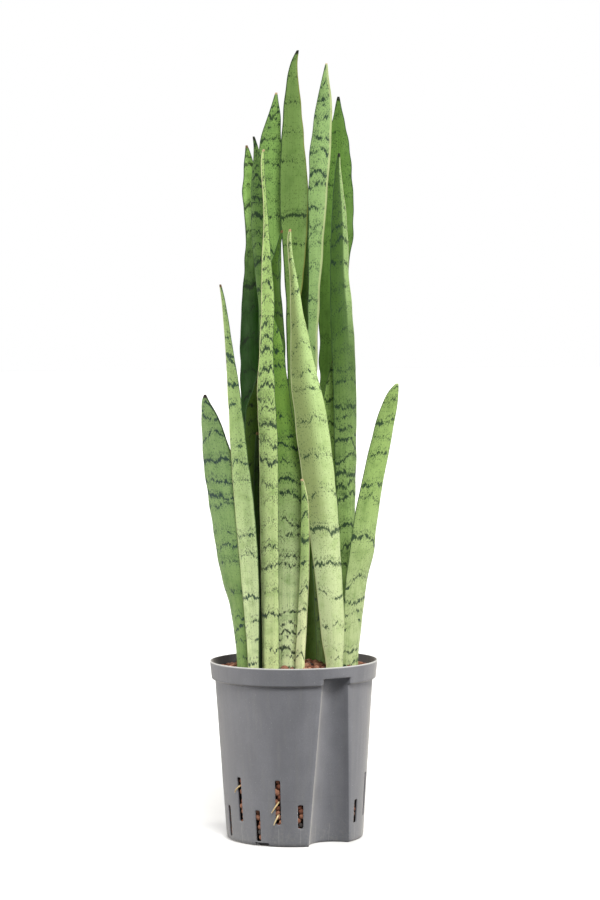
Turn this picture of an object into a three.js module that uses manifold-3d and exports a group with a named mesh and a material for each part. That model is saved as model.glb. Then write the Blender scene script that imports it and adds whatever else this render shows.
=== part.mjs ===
// Snake plant standing in a grey hydroculture pot filled with expanded clay.
// Millimetres, +Z up. The origin is the middle of the pot's foot plane, and the
// front, where most leaves stand, looks along -Y.
import * as THREE from 'three';
import { mergeVertices } from 'three/addons/utils/BufferGeometryUtils.js';
import Module from 'manifold-3d';

const wasm = await Module();
wasm.setup();

// ---- Driving dimensions ----
const potHeight = 190;
const rimRadius = 90;             // outside of the lip
const rimBandHeight = 19.5;
const rimBandTaper = 2;           // the band is this much narrower at its lower edge
const rimBandStep = 3.5;          // how far the band stands proud of the body
const footRadius = 73.5;          // outside of the body, just above its bottom corner
const footCorner = 4;
const wall = 1.8;
const floorThickness = 2.5;
const potSides = 48;

const footRecess = 3;             // the underside is hollow by this much
const footRingWidth = 8;
const bossRadius = 18;            // flat pad in the middle of the underside
const footGapHeight = 4;
const footGapWidth = 16;
const footGapAngles = [-120, -60, 60, 120];   // degrees from the gauge channel

const channelAngle = 31.5;         // degrees from the front, towards +X
const channelBottomRadius = 26.6;
const channelBottomDepth = 22;
const channelTopRadius = 15.9;
const channelTopDepth = 12;
const channelTopGap = 12;         // the channel stops this far below the lip
const channelSides = 16;

const slotPitch = 18;             // degrees
const firstSlotAngle = 27;        // degrees from the channel to its nearest slot
const slotsPerSide = 9;
const slotKinds = {
  short: { low: 20, high: 45, width: 3.2 },
  upper: { low: 24, high: 71, width: 3.6 },
  lower: { low: 5, high: 38, width: 3.2 },
};
const drainSlotCount = 8;
const drainSlotLength = 22;
const drainSlotWidth = 4;
const drainSlotDistance = 42;     // from the axis to the middle of a drain slot

const clayBelowRim = 5;           // leaves are measured up from this level
const clayEdgeDrop = 6;           // the clay is lower than that level at the wall
const clayMound = 2;              // and higher in the middle
const clayLump = 1.3;             // height of the lumps on top
const clayLumpPitch = 11;
const claySides = 32;
const fit = 0.35;                 // clearance wherever one piece stands in another

const clumpMargin = 12.2;         // from the rim's inside to the outermost leaf bases
const drawnClumpRadius = 76;      // the leaf table's leans and widths are for a clump this wide
const leafBaseThickness = 5;
const leafMiddleThickness = 3.2;
const leafTipThickness = 1.6;
const marginThickness = 0.9;
const sidePoints = 5;             // points across each face of a leaf

const rhizomeRadius = 7;
const rhizomeDepth = 42;          // from the leaves' zero level down to its axis
const rootRadius = 1.1;
const rootReach = 9;              // how far a root starts inside the clay

// ---- Leaves ----
// stand: where the leaf leaves the clay, as shares of the clump's radius.
// hollow: the direction its hollow face looks, in degrees, at its base and its tip.
// cup: how deep the hollow is, as a share of the width.
// stations: [height above the clay, lean to +X, lean to +Y, width seen from the front].
const leaves = {
  leaf_left_short: {
    stand: [-0.71, -0.40], hollow: [46, 62], cup: 0.12,
    stations: [
      [0, 0, 0, 15], [63, -3, -2, 23], [95, -9, -4, 29], [125, -13, -5, 32], [199, -22, -9, 35],
      [250, -30, -13, 24], [271, -34, -15, 15], [286, -37, -16, 6], [291, -37, -17, 1.4],
    ],
  },
  leaf_front_left: {
    stand: [-0.57, -0.63], hollow: [58, 66], cup: 0.15,
    stations: [
      [0, 0, 0, 11], [95, -3, -4, 18], [158, -7, -8, 20], [242, -14, -14, 16],
      [298, -18, -18, 12], [342, -22, -22, 7], [389, -27, -26, 3.2], [406, -30, -28, 1.4],
    ],
  },
  leaf_front_long: {
    stand: [-0.33, -0.66], hollow: [70, 82], cup: 0.15,
    stations: [
      [0, 0, 0, 17], [158, 0, -6, 19], [232, 0, -9, 19], [295, -2, -13, 18], [342, -1, -15, 13.5],
      [389, 1, -17, 13], [432, 0, -19, 9], [463, 0, -20, 5], [495, -1, -21, 3.2],
      [532, -3, -22, 3.2], [546, -2, -22, 1.4],
    ],
  },
  leaf_banded: {
    stand: [-0.37, -0.12], hollow: [52, 84], cup: 0.14,
    stations: [
      [0, 0, 0, 11], [199, 1, 0, 14], [371, 1, -2, 14], [454, -5, -3, 15], [496, -6, -3, 15],
      [536, -6, -3, 9], [555, -8, -3, 3.6], [564, -10, -3, 1.4],
    ],
  },
  leaf_back_left: {
    stand: [-0.55, 0.34], hollow: [-46, -66], cup: 0.14,
    stations: [
      [0, 0, 0, 11], [112, -2, 4, 16], [230, -3, 11, 20], [307, -3, 17, 23], [358, -2, 21, 24],
      [401, -1, 25, 20], [462, 1, 29, 16], [503, -2, 32, 16], [537, -3, 34, 10],
      [553, -4, 35, 4.6], [560, -5, 35, 1.4],
    ],
  },
  leaf_back_broad: {
    stand: [-0.22, 0.25], hollow: [-58, -74], cup: 0.14,
    stations: [
      [0, 0, 0, 12], [155, -2, 2, 16], [283, -5, 6, 20], [390, -7, 10, 24], [482, -7, 14, 26],
      [530, -6, 17, 26], [562, -4, 19, 22], [584, -1, 20, 15.5], [605, 2, 21, 5.5],
      [615, 3, 21, 1.4],
    ],
  },
  leaf_dark_middle: {
    stand: [-0.14, -0.30], hollow: [-112, -104], cup: 0.15,
    stations: [
      [0, 0, 0, 11], [177, -3, 0, 15], [284, -4, 0, 18], [342, -5, 0, 19], [374, -6, 0, 17],
      [403, -7, 0, 14], [424, -6, 0, 10], [441, -3, 1, 5], [464, 2, 1, 1.4],
    ],
  },
  leaf_tallest: {
    stand: [0.26, 0.29], hollow: [-118, -96], cup: 0.16,
    stations: [
      [0, 0, 0, 13], [133, 0, 0, 15], [197, -4, 0, 15], [283, -14, 0, 16], [374, -17, 1, 14.5],
      [449, -15, 2, 25], [503, -15, 3, 30.5], [562, -16, 4, 24], [605, -16, 5, 17],
      [626, -16, 5, 12], [646, -14, 6, 6.6], [659, -10, 6, 1.4],
    ],
  },
  leaf_back_tall: {
    stand: [0.42, 0.09], hollow: [-148, -108], cup: 0.15,
    stations: [
      [0, 0, 0, 10], [115, -4, 0, 11], [230, -7, -2, 10], [318, -9, -3, 10], [380, -7, -4, 11],
      [444, -4, -5, 15], [508, -1, -6, 20], [540, 1, -7, 21.5], [577, 4, -7, 19.5],
      [602, 6, -7, 15], [625, 7, -8, 7], [642, 8, -8, 1.4],
    ],
  },
  leaf_front_wide: {
    stand: [0.59, -0.55], hollow: [126, 104], cup: 0.16,
    stations: [
      [0, 0, 0, 17], [36, -1, -1, 24], [115, -7, -5, 29], [158, -11, -8, 32], [231, -19, -13, 34.5],
      [284, -26, -17, 32], [312, -31, -19, 27], [347, -35, -22, 19], [382, -39, -25, 12],
      [413, -42, -27, 7], [437, -45, -28, 4.2], [453, -46, -29, 3.6], [463, -45, -29, 1.4],
    ],
  },
  leaf_back_wavy: {
    stand: [0.43, 0.42], hollow: [-126, -98], cup: 0.14,
    stations: [
      [0, 0, 0, 12], [110, 2, 4, 13], [197, 5, 9, 15], [283, 8, 15, 19], [337, 11, 19, 24],
      [391, 14, 24, 29], [436, 17, 28, 31], [472, 20, 31, 34], [498, 20, 33, 33.5],
      [533, 20, 36, 30], [560, 20, 38, 25], [577, 20, 39, 18], [593, 21, 40, 10],
      [613, 21, 41, 1.4],
    ],
  },
  leaf_right_folded: {
    stand: [0.81, -0.09], hollow: [142, 122], cup: 0.18,
    stations: [
      [0, 0, 0, 10], [81, -1, 1, 13], [172, -2, 2, 19], [204, -2, 2, 22], [273, -2, 2, 24.5],
      [369, -5, 2, 24], [401, -7, 1, 21], [433, -8, 1, 19], [465, -8, 0, 17], [497, -9, 0, 12],
      [529, -10, 0, 5], [546, -9, 0, 1.4],
    ],
  },
  leaf_right_hidden: {
    stand: [0.58, -0.12], hollow: [-132, -112], cup: 0.14,
    stations: [
      [0, 0, 0, 11], [113, 0, 6, 15], [198, -1, 10, 19], [262, -3, 14, 19], [296, 0, 15, 14],
      [315, 1, 16, 7], [326, 1, 16, 1.4],
    ],
  },
  leaf_front_middle: {
    stand: [-0.11, -0.47], hollow: [80, 94], cup: 0.14,
    stations: [
      [0, 0, 0, 17], [52, 1, 0, 22], [94, 2, -1, 26], [157, 2, -4, 30], [226, 0, -8, 30],
      [282, -7, -12, 26], [332, -10, -16, 20], [356, -11, -18, 13], [366, -12, -19, 6.5],
      [379, -13, -20, 1.4],
    ],
  },
  leaf_shaded: {
    stand: [-0.50, -0.32], hollow: [-64, -78], cup: 0.13,
    stations: [
      [0, 0, 0, 11], [114, 0, 0, 21], [199, 0, 0, 26], [272, 1, 0, 25], [296, 6, 0, 17],
      [321, 8, 0, 9], [342, 8, 0, 1.4],
    ],
  },
  leaf_shaded_small: {
    stand: [-0.48, -0.50], hollow: [70, 84], cup: 0.12,
    stations: [
      [0, 0, 0, 8], [73, 1, 0, 10], [178, 0, -2, 9], [240, 0, -3, 4], [251, 0, -3, 1.4],
    ],
  },
  leaf_front_small: {
    stand: [0.08, -0.61], hollow: [112, 104], cup: 0.16,
    stations: [
      [0, 0, 0, 9], [45, 3, -2, 9], [137, 7, -9, 7.6], [175, 7, -13, 6], [190, 6, -15, 3.6],
      [202, 4, -16, 1.4],
    ],
  },
  leaf_right_leaning: {
    stand: [0.81, -0.28], hollow: [134, 116], cup: 0.12,
    stations: [
      [0, 0, 0, 17], [46, 3, -1, 20], [90, 7, -3, 23], [121, 13, -5, 26], [154, 17, -7, 25],
      [204, 26, -10, 22.5], [246, 35, -13, 21], [269, 40, -15, 18], [284, 44, -17, 14.5],
      [294, 47, -18, 9.5], [301, 50, -18, 2.2],
    ],
  },
  leaf_far_back: {
    stand: [0.25, 0.60], hollow: [-112, -98], cup: 0.16,
    stations: [
      [0, 0, 0, 10], [116, -1, 6, 13], [290, -4, 19, 16], [398, -5, 28, 16], [441, -4, 32, 14],
      [479, -2, 35, 10], [501, 0, 37, 5], [509, 2, 37, 1.4],
    ],
  },
};

// ---- Rhizomes and roots ----
// The underground stems run level under the leaves' feet, through these shares
// of the clump's radius.
const rhizomes = {
  rhizome_front: [[-0.76, -0.36], [-0.60, -0.58], [-0.33, -0.65], [-0.10, -0.48], [0.10, -0.62]],
  rhizome_middle: [[-0.52, -0.36], [-0.36, -0.18], [-0.14, -0.20], [-0.20, 0.24], [-0.58, 0.28]],
  rhizome_right: [[0.58, -0.58], [0.80, -0.38], [0.74, -0.14], [0.44, 0.02], [0.40, 0.36], [0.24, 0.62]],
};
// A root tip comes out of a slot and turns along the wall.
// slot: index on the side of the channel, out: height where it comes out,
// down and along: how far its tip hangs below and beside that point.
const roots = {
  root_tip_left: { side: -1, slot: 3, out: 61, down: 6, along: 4 },
  root_tip_upper: { side: -1, slot: 1, out: 46, down: 9, along: 6 },
  root_tip_lower: { side: -1, slot: 1, out: 33, down: 9, along: 4 },
};

// ---- Finishes ----
const potGrey = new THREE.MeshStandardMaterial({ color: 0x7d7d82, roughness: 0.6, metalness: 0 });
const terracotta = new THREE.MeshStandardMaterial({ color: 0xa6694a, roughness: 0.95, metalness: 0 });
const leafGreen = new THREE.MeshStandardMaterial({ color: 0x6f9a55, roughness: 0.45, metalness: 0 });
const rhizomeTan = new THREE.MeshStandardMaterial({ color: 0xc9a26b, roughness: 0.8, metalness: 0 });
const rootCream = new THREE.MeshStandardMaterial({ color: 0xd9c79a, roughness: 0.8, metalness: 0 });

// ---- Helpers ----
const radians = THREE.MathUtils.degToRad;

// Turns a three.js geometry into a closed solid with its faces pointing out.
function solidFrom(geometry) {
  geometry.deleteAttribute('normal');
  geometry.deleteAttribute('uv');
  const merged = mergeVertices(geometry, 1e-4);
  const positions = merged.getAttribute('position');
  const corners = Array.from(merged.index.array);
  const triangles = [];
  let volume = 0;
  for (let i = 0; i < corners.length; i += 3) {
    const [a, b, c] = corners.slice(i, i + 3);
    if (a === b || b === c || c === a) continue;
    const [p, q, r] = [a, b, c].map((k) => new THREE.Vector3().fromBufferAttribute(positions, k));
    volume += p.dot(q.cross(r));
    triangles.push([a, b, c]);
  }
  const outward = volume < 0 ? triangles.map(([a, b, c]) => [a, c, b]) : triangles;
  return new wasm.Manifold(new wasm.Mesh({
    numProp: 3,
    vertProperties: new Float32Array(positions.array),
    triVerts: new Uint32Array(outward.flat()),
  }));
}

function meshFrom(name, solid, material) {
  const { vertProperties, triVerts } = solid.getMesh();
  const geometry = new THREE.BufferGeometry();
  geometry.setAttribute('position', new THREE.BufferAttribute(vertProperties, 3));
  geometry.setIndex(new THREE.BufferAttribute(triVerts, 1));
  geometry.computeVertexNormals();
  const mesh = new THREE.Mesh(geometry, material);
  mesh.name = name;
  return mesh;
}

// A solid of revolution about Z from [radius, height] points.
function turned(profile, sides) {
  const points = profile.map(([radius, height]) => new THREE.Vector2(radius, height));
  return solidFrom(new THREE.LatheGeometry(points, sides).rotateX(Math.PI / 2));
}

// A closed solid through rings that have the same even number of points. Each end
// is closed by strips between the ring's two halves.
function lofted(rings) {
  const count = rings[0].length;
  const positions = rings.flat().flatMap((point) => point.toArray());
  const indices = [];
  for (let ring = 0; ring < rings.length - 1; ring += 1) {
    for (let k = 0; k < count; k += 1) {
      const a = ring * count + k;
      const b = ring * count + (k + 1) % count;
      indices.push(a, b, b + count, a, b + count, a + count);
    }
  }
  const last = (rings.length - 1) * count;
  for (let k = 0; k < count / 2 - 1; k += 1) {
    const [a, b, c, d] = [k, k + 1, count - 2 - k, count - 1 - k];
    indices.push(a, c, b, a, d, c);
    indices.push(last + a, last + b, last + c, last + a, last + c, last + d);
  }
  const geometry = new THREE.BufferGeometry();
  geometry.setAttribute('position', new THREE.Float32BufferAttribute(positions, 3));
  geometry.setIndex(indices);
  return solidFrom(geometry);
}

// A round bar of one radius along a smooth curve through its points.
function bar(points, radius, sides, steps) {
  const circle = new THREE.Shape().absarc(0, 0, radius, 0, 2 * Math.PI, false);
  const path = new THREE.CatmullRomCurve3(points);
  const outline = new THREE.Shape(circle.getSpacedPoints(sides).slice(0, -1));
  return solidFrom(new THREE.ExtrudeGeometry(outline, { steps, extrudePath: path, bevelEnabled: false }));
}

// A point at a distance from the axis, at an angle from the front towards +X.
function around(angle, distance, height) {
  return new THREE.Vector3(
    distance * Math.sin(radians(angle)), -distance * Math.cos(radians(angle)), height);
}

// ---- Pot ----
const bodyTop = potHeight - rimBandHeight;
const bodyTopRadius = rimRadius - rimBandTaper - rimBandStep;
const bodyRadius = (height) => THREE.MathUtils.mapLinear(height, footCorner, bodyTop, footRadius, bodyTopRadius);
const innerFloor = footRecess + floorThickness;

// The body, its corner and the rim band, without the wall's thickness taken off
// (inset 0) or with it, up to a given height.
function potProfile(inset, floor, top) {
  const corner = new THREE.Path().absarc(
    footRadius - footCorner, floor + footCorner, footCorner, -Math.PI / 2, 0, false);
  const arc = corner.getPoints(4).map((point) => [point.x - inset, point.y]);
  return [
    [0, floor], ...arc,
    [bodyTopRadius - inset, bodyTop + inset],
    [bodyTopRadius + rimBandStep - inset, bodyTop + inset],
    [rimRadius - inset, top],
    [0, top],
  ];
}

function channelCutter(thickness) {
  const bottom = footRadius + channelBottomRadius - channelBottomDepth;
  const top = bodyTopRadius + channelTopRadius - channelTopDepth;
  const ceiling = potHeight - channelTopGap;
  const ring = (share, height) => {
    const centre = around(channelAngle, THREE.MathUtils.lerp(bottom, top, share), height);
    const radius = THREE.MathUtils.lerp(channelBottomRadius, channelTopRadius, share) + thickness;
    return Array.from({ length: channelSides }, (_, k) => {
      const turn = (2 * Math.PI * k) / channelSides;
      return new THREE.Vector3(
        centre.x + radius * Math.cos(turn), centre.y + radius * Math.sin(turn), height);
    });
  };
  return lofted([ring(0, -1), ring(1, ceiling + thickness)]);
}

function slotCutter({ low, high, width }, angle) {
  const half = width / 2;
  const outline = new THREE.Shape()
    .absarc(0, high - half, half, 0, Math.PI, false)
    .absarc(0, low + half, half, Math.PI, 2 * Math.PI, false);
  const depth = rimRadius - footRadius + 20;
  const cutter = new THREE.ExtrudeGeometry(outline, { depth, bevelEnabled: false, curveSegments: 2 });
  cutter.rotateX(Math.PI / 2);
  cutter.translate(0, -(footRadius - 16), 0);
  cutter.rotateZ(radians(angle));
  return solidFrom(cutter);
}

function slotAngle(side, index) {
  return channelAngle + side * (firstSlotAngle + slotPitch * index);
}

function slotKind(index) {
  if (index === 0) return slotKinds.short;
  return index % 2 === 1 ? slotKinds.upper : slotKinds.lower;
}

function boxAt(sizeX, sizeY, sizeZ, x, y, z, angle) {
  return solidFrom(new THREE.BoxGeometry(sizeX, sizeY, sizeZ).translate(x, y, z).rotateZ(radians(angle)));
}

function makePot() {
  const ringInner = footRadius - footCorner - footRingWidth;
  let pot = turned(potProfile(0, 0, potHeight), potSides);
  pot = pot.subtract(channelCutter(0));
  const hollow = turned(potProfile(wall, innerFloor, potHeight + 1), potSides);
  pot = pot.subtract(hollow.subtract(channelCutter(wall)));
  const recess = turned(
    [[bossRadius, -1], [ringInner, -1], [ringInner, footRecess], [bossRadius, footRecess], [bossRadius, -1]],
    potSides);
  pot = pot.subtract(recess.subtract(channelCutter(wall)));
  for (const angle of footGapAngles) {
    const gap = boxAt(footGapWidth, footRingWidth * 3, footGapHeight * 2, 0, -footRadius, 0, channelAngle + angle);
    pot = pot.subtract(gap.subtract(turned(potProfile(footCorner + wall, -1, potHeight), potSides)));
  }
  for (const side of [-1, 1]) {
    for (let index = 0; index < slotsPerSide; index += 1) {
      pot = pot.subtract(slotCutter(slotKind(index), slotAngle(side, index)));
    }
  }
  for (let k = 0; k < drainSlotCount; k += 1) {
    const angle = channelAngle + ((k + 0.5) * 360) / drainSlotCount;
    const drain = boxAt(drainSlotWidth, drainSlotLength, innerFloor * 3, 0, -drainSlotDistance, 0, angle);
    pot = pot.subtract(drain);
  }
  return pot;
}

// ---- Leaves ----
const clayTop = potHeight - clayBelowRim;
const clumpRadius = rimRadius - wall - clumpMargin;
const spread = clumpRadius / drawnClumpRadius;
const rhizomeAxis = clayTop - rhizomeDepth;
const leafFoot = rhizomeAxis + rhizomeRadius + fit;

// The leaf's axis, width and hollow direction at a height above the clay.
function leafAt(leaf, height) {
  const { stand, hollow, stations } = leaf;
  const top = stations[stations.length - 1][0];
  const share = THREE.MathUtils.clamp(height / top, 0, 1);
  const above = Math.max(height, 0);
  let next = stations.findIndex((station) => station[0] >= above - 1e-6);
  next = THREE.MathUtils.clamp(next, 1, stations.length - 1);
  const [from, to] = [stations[next - 1], stations[next]];
  const along = (above - from[0]) / (to[0] - from[0]);
  const [leanX, leanY, frontWidth] = [1, 2, 3].map((k) => spread * THREE.MathUtils.lerp(from[k], to[k], along));
  const direction = radians(THREE.MathUtils.lerp(hollow[0], hollow[1], share));
  const width = frontWidth / Math.abs(Math.sin(direction));
  const thickness = share < 0.5
    ? THREE.MathUtils.lerp(leafBaseThickness, leafMiddleThickness, share * 2)
    : THREE.MathUtils.lerp(leafMiddleThickness, leafTipThickness, share * 2 - 1);
  const extraCup = 0.5 * (1 - THREE.MathUtils.smoothstep(share, 0, 0.35));
  return {
    x: stand[0] * clumpRadius + leanX,
    y: stand[1] * clumpRadius + leanY,
    width,
    thickness: Math.min(spread * thickness, width),
    cup: leaf.cup * (1 + extraCup),
    hollow: direction,
  };
}

// One level ring: out along the round face, back along the hollow face.
function leafRing(leaf, height, grow) {
  const { x, y, width, thickness, cup, hollow } = leafAt(leaf, height);
  const across = [Math.sin(hollow), -Math.cos(hollow)];
  const inward = [Math.cos(hollow), Math.sin(hollow)];
  const half = width / 2;
  const edge = Math.min(spread * marginThickness, thickness) / 2;
  const point = (u, face) => {
    const beside = u * (half + grow);
    const bow = cup * width * ((beside / half) ** 2 - 1 / 3);
    const depth = bow + face * (THREE.MathUtils.lerp(thickness / 2, edge, u * u) + grow);
    return new THREE.Vector3(
      x + across[0] * beside + inward[0] * depth,
      y + across[1] * beside + inward[1] * depth,
      clayTop + height);
  };
  const shares = Array.from({ length: sidePoints }, (_, k) => (2 * k) / (sidePoints - 1) - 1);
  return [
    ...shares.map((u) => point(u, -1)),
    ...shares.reverse().map((u) => point(u, 1)),
  ];
}

function makeLeaf(leaf) {
  const heights = [leafFoot - clayTop, ...leaf.stations.map((station) => station[0])];
  return lofted(heights.map((height) => leafRing(leaf, height, 0)));
}

function makeSocket(leaf) {
  const heights = [rhizomeAxis - clayTop, 0, leaf.stations[1][0]];
  return lofted(heights.map((height) => leafRing(leaf, height, fit)));
}

// ---- Rhizomes and roots ----
function makeRhizome(shares, radius) {
  const points = shares.map(([x, y]) => new THREE.Vector3(x * clumpRadius, y * clumpRadius, rhizomeAxis));
  return bar(points, radius, 10, 14);
}

function makeRoot({ side, slot, out, down, along }, radius) {
  const angle = slotAngle(side, slot);
  const outside = bodyRadius(out);
  const beside = -THREE.MathUtils.radToDeg(along / outside);
  const points = [
    around(angle, outside - wall - rootReach, out + 2),
    around(angle, outside - wall, out + 1.5),
    around(angle, outside + 1.5, out),
    around(angle + beside * 0.5, outside + 3.5, out - down * 0.4),
    around(angle + beside, outside + 3, out - down),
  ];
  return bar(points, radius, 6, 8);
}

// ---- Clay ----
// Rounded lumps at two crossed slants, so that no rows show.
function lumpHeight(x, y) {
  const wave = (2 * Math.PI) / clayLumpPitch;
  const first = Math.sin((x + 0.4 * y) * wave) * Math.sin((y - 0.4 * x) * wave);
  const second = Math.sin((0.8 * x - 0.7 * y) * wave * 1.3 + 1);
  return clayLump * (0.7 * first + 0.3 * second);
}

function makeClay() {
  const clearance = wall + fit;
  const edgeHeight = clayTop - clayEdgeDrop;
  const edgeRadius = rimRadius - rimBandTaper - clearance;
  const [bottomArc, bodyEnd] = [
    potProfile(clearance, innerFloor + fit, potHeight).slice(0, 6),
    [bodyTopRadius - clearance, bodyTop + clearance],
  ];
  const ringCount = 6;
  const mound = Array.from({ length: ringCount }, (_, k) => {
    const share = 1 - k / (ringCount - 1);
    return [edgeRadius * share, edgeHeight + (clayEdgeDrop + clayMound) * (1 - share ** 3)];
  });
  const geometry = new THREE.LatheGeometry(
    [...bottomArc, bodyEnd, [edgeRadius, bodyTop + clearance], ...mound]
      .map(([radius, height]) => new THREE.Vector2(radius, height)),
    claySides);
  geometry.rotateX(Math.PI / 2);
  const positions = geometry.getAttribute('position');
  for (let k = 0; k < positions.count; k += 1) {
    const [x, y, z] = [positions.getX(k), positions.getY(k), positions.getZ(k)];
    const distance = Math.hypot(x, y);
    if (z > edgeHeight + 0.01 && distance < edgeRadius - 1) positions.setZ(k, z + lumpHeight(x, y));
  }
  let clay = solidFrom(geometry).subtract(channelCutter(clearance));
  for (const leaf of Object.values(leaves)) clay = clay.subtract(makeSocket(leaf));
  for (const shares of Object.values(rhizomes)) clay = clay.subtract(makeRhizome(shares, rhizomeRadius + fit));
  for (const root of Object.values(roots)) clay = clay.subtract(makeRoot(root, rootRadius + fit));
  return clay;
}

// ---- Assembly ----
const plant = new THREE.Group();
plant.add(meshFrom('culture_pot', makePot(), potGrey));
plant.add(meshFrom('clay_pellets', makeClay(), terracotta));
for (const [name, shares] of Object.entries(rhizomes)) {
  plant.add(meshFrom(name, makeRhizome(shares, rhizomeRadius), rhizomeTan));
}
for (const [name, leaf] of Object.entries(leaves)) {
  plant.add(meshFrom(name, makeLeaf(leaf), leafGreen));
}
for (const [name, root] of Object.entries(roots)) {
  plant.add(meshFrom(name, makeRoot(root, rootRadius), rootCream));
}

export default plant;
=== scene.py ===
"""Looks for a potted snake plant: banded leaves, expanded clay and a slotted culture pot.

Lengths are written in millimetres and turned into metres with MM.
"""
import math
import random
import bpy
import numpy as np
from mathutils import Matrix, Quaternion, Vector


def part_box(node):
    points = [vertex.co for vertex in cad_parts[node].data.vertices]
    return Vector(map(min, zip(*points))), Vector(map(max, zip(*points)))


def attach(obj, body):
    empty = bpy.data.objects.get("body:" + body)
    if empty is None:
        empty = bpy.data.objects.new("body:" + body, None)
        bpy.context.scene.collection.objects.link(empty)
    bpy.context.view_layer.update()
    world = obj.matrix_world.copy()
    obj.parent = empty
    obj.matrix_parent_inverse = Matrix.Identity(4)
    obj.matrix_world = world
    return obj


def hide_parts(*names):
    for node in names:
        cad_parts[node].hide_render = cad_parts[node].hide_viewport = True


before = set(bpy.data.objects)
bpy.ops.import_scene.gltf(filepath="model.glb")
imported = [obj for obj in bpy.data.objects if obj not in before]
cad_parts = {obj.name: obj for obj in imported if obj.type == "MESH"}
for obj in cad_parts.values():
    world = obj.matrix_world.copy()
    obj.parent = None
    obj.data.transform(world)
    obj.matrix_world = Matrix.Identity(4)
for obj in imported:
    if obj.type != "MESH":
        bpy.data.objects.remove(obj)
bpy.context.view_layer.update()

MM = 0.001

# ---- Sizes of the pot, as the frame has them ----
POT_HEIGHT = round(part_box("culture_pot")[1].z / MM)
RIM_RADIUS = 90
BAND_HEIGHT = 19.5
BAND_TAPER = 2
BAND_STEP = 3.5
FOOT_RADIUS = 73.5
FOOT_CORNER = 4
FOOT_RING = 8
FOOT_RECESS = 3
BOSS_RADIUS = 18
WALL = 1.8
FLOOR_TOP = 5.9
CHANNEL_ANGLE = 31.5
CHANNEL_BOTTOM = (26.6, 22)      # radius and depth at the foot
CHANNEL_TOP = (15.9, 12)         # and at the ceiling
CHANNEL_CEILING = POT_HEIGHT - 12
SLOT_PITCH = 18
FIRST_SLOT = 27                  # degrees from the channel
SLOT_HALF = 2.1                  # half a slot's width, in degrees
SLOTS = ((20, 45), (24, 71), (5, 38))    # short, upper and lower: low end and high end
CLAY_EDGE = POT_HEIGHT - 11      # level of the clay at the wall
CLAY_MOUND = 8                   # how much higher it is in the middle
DRAIN_SLOTS = 8
DRAIN_DISTANCE = 42              # from the axis to a drain slot's middle
DRAIN_CUT = (4, 22, 14)          # width, length and depth of the cut
FOOT_GAPS = (-120, -60, 60, 120)         # degrees from the channel
FOOT_GAP_CUT = (16, 3 * FOOT_RING, 8)
PELLET_RADII = (3.0, 3.6, 4.2, 4.8, 5.2)
LARGEST_OVER_CHANNEL = 4.2
# Each layer of pellets on top: how deep it lies, tries, how close two pellets may stand, and how
# far a pellet's middle is above the channel's ceiling where it crosses it, in shares of its radius.
PELLET_LAYERS = ((1.0, 5000, 0.9, 1.0), (6.5, 3500, 0.85, 0.6))

BODY_TOP = POT_HEIGHT - BAND_HEIGHT
BODY_TOP_RADIUS = RIM_RADIUS - BAND_TAPER - BAND_STEP


# ---- Small helpers ----
def deselect_all():
    """Leaves nothing selected, so that the next operator acts on the new piece only."""
    if bpy.context.object and bpy.context.object.mode != "OBJECT":
        bpy.ops.object.mode_set(mode="OBJECT")
    bpy.ops.object.select_all(action="DESELECT")


def pick(piece):
    """Makes one piece the selected and active one."""
    deselect_all()
    piece.select_set(True)
    bpy.context.view_layer.objects.active = piece


def apply_modifiers(piece):
    pick(piece)
    for modifier in list(piece.modifiers):
        bpy.ops.object.modifier_apply(modifier=modifier.name)


def corners_of(piece):
    corners = np.zeros(len(piece.data.vertices) * 3)
    piece.data.vertices.foreach_get("co", corners)
    return corners.reshape(-1, 3)


def move_corners(piece, corners):
    piece.data.vertices.foreach_set("co", np.asarray(corners, dtype=float).ravel())
    piece.data.update()


def write_attribute(piece, name, values):
    layer = piece.data.attributes.new(name, "FLOAT", "POINT")
    layer.data.foreach_set("value", np.asarray(values, dtype=np.float32))


def finish_piece(piece, name, slot, material, *nodes):
    """Names a piece, gives it its finish and fastens it to the frame."""
    piece.name = name
    piece.data.name = name
    piece.data.materials.clear()
    piece.data.materials.append(material)
    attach(piece, "root")
    if nodes:
        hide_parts(*nodes)
    return piece


def tone(code):
    """A colour from its sRGB hex code, as the shader wants it."""
    parts = [int(code[k:k + 2], 16) / 255 for k in (0, 2, 4)]
    linear = [p / 12.92 if p <= 0.04045 else ((p + 0.055) / 1.055) ** 2.4 for p in parts]
    return (*linear, 1)


class Wire:
    """One value in a material's node tree. Wires can be added, scaled and compared."""

    def __init__(self, material, socket):
        self.material = material
        self.socket = socket

    def work(self, operation, *values):
        made = add_node(self.material, "Math", operation=operation)
        for socket, value in zip(made.inputs, values):
            feed(self.material, socket, value)
        return Wire(self.material, made.outputs[0])

    def __add__(self, other):
        return self.work("ADD", self, other)

    def __sub__(self, other):
        return self.work("SUBTRACT", self, other)

    def __rsub__(self, other):
        return self.work("SUBTRACT", other, self)

    def __mul__(self, other):
        return self.work("MULTIPLY", self, other)

    def __truediv__(self, other):
        return self.work("DIVIDE", self, other)

    def __abs__(self):
        return self.work("ABSOLUTE", self)

    def floor(self):
        return self.work("FLOOR", self)

    def most(self, other):
        return self.work("MAXIMUM", self, other)

    def step(self, start, end, low=0.0, high=1.0):
        """Runs smoothly from low to high as the value goes from start to end."""
        made = add_node(self.material, "MapRange", interpolation_type="SMOOTHSTEP")
        for name, value in (("Value", self), ("From Min", start), ("From Max", end),
                            ("To Min", low), ("To Max", high)):
            feed(self.material, made.inputs[name], value)
        return Wire(self.material, made.outputs["Result"])


def feed(material, socket, value):
    if isinstance(value, Wire):
        material.node_tree.links.new(value.socket, socket)
    else:
        socket.default_value = value


def add_node(material, kind, **settings):
    made = material.node_tree.nodes.new("ShaderNode" + kind)
    for name, value in settings.items():
        setattr(made, name, value)
    return made


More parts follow.
